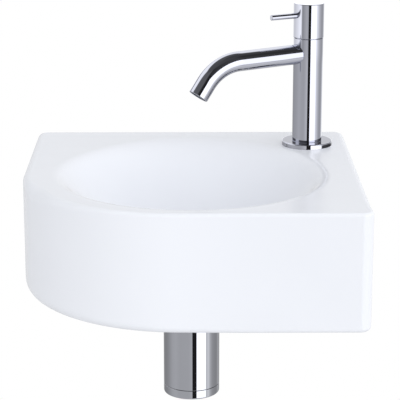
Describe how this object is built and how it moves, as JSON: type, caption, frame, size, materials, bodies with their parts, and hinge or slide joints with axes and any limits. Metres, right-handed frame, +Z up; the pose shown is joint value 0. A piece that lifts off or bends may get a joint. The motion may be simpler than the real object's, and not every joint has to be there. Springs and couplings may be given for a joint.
{
  "type": "washbasin with tap and bottle trap",
  "caption": "Small wall-hung ceramic washbasin with a rounded front corner and a round bowl, a pillar tap with a thin lever, and a chrome bottle trap to the wall.",
  "frame": {"origin": "on the wall plane, midway between the axes of the two wall-fixing holes; the deck is 50 mm above it", "axes": "+Z up, +Y into the wall, front of the basin towards -Y, +X to the right as seen from the front"},
  "size_m": [0.3, 0.33, 0.3422],
  "materials": {
    "ceramic_glaze": "gloss white glaze",
    "chrome_plate": "polished chrome plating on brass",
    "brass_raw": "machined, unplated",
    "stainless_steel": "bright stainless",
    "black_rubber": "matt black",
    "white_plastic": "matt natural",
    "grey_plastic": "matt grey",
    "disc_ceramic": "lapped"
  },
  "bodies": {
    "basin_assembly": {"basin": "ceramic_glaze", "wall_sleeves": "white_plastic", "tap_plate": "chrome_plate", "tap_plate_seal": "black_rubber", "tap_column": "chrome_plate", "tap_spout": "chrome_plate", "tap_shank": "brass_raw", "tap_rubber_washer": "black_rubber", "tap_steel_washer": "stainless_steel", "tap_backnut": "brass_raw", "aerator": "grey_plastic", "aerator_washer": "black_rubber", "valve_housing": "brass_raw", "valve_seat_seal": "black_rubber", "valve_fixed_disc": "disc_ceramic", "housing_ring": "black_rubber", "glide_ring": "white_plastic", "waste_body": "chrome_plate", "waste_grid": "chrome_plate", "waste_screw": "stainless_steel", "waste_top_seal": "black_rubber", "waste_low_seal": "black_rubber", "waste_slip_washer": "white_plastic", "waste_backnut": "brass_raw", "trap_union_nut": "chrome_plate", "trap_union_washer": "black_rubber", "trap_inlet_tube": "chrome_plate", "trap_body": "chrome_plate", "outlet_nut": "chrome_plate", "outlet_washer": "black_rubber", "outlet_pipe": "chrome_plate", "wall_rosette": "chrome_plate", "rosette_ring": "black_rubber"},
    "handle": {"handle_cap": "chrome_plate", "lever_pin": "chrome_plate", "grub_screw": "stainless_steel", "valve_spindle": "brass_raw", "spindle_rings": "black_rubber", "valve_turning_disc": "disc_ceramic"},
    "cup": {"trap_cup": "chrome_plate", "trap_cup_ring": "black_rubber"}
  },
  "joints": [
    {"name": "handle_turn", "type": "hinge", "parent": "basin_assembly", "child": "handle", "pos_m": [0.1106, -0.0568, 0.16], "axis": [0, 0, 1], "range_deg": [0, 90]},
    {"name": "cup_drop", "type": "slide", "parent": "basin_assembly", "child": "cup", "axis": [0, 0, -1], "range_m": [0, 0.04]}
  ]
}
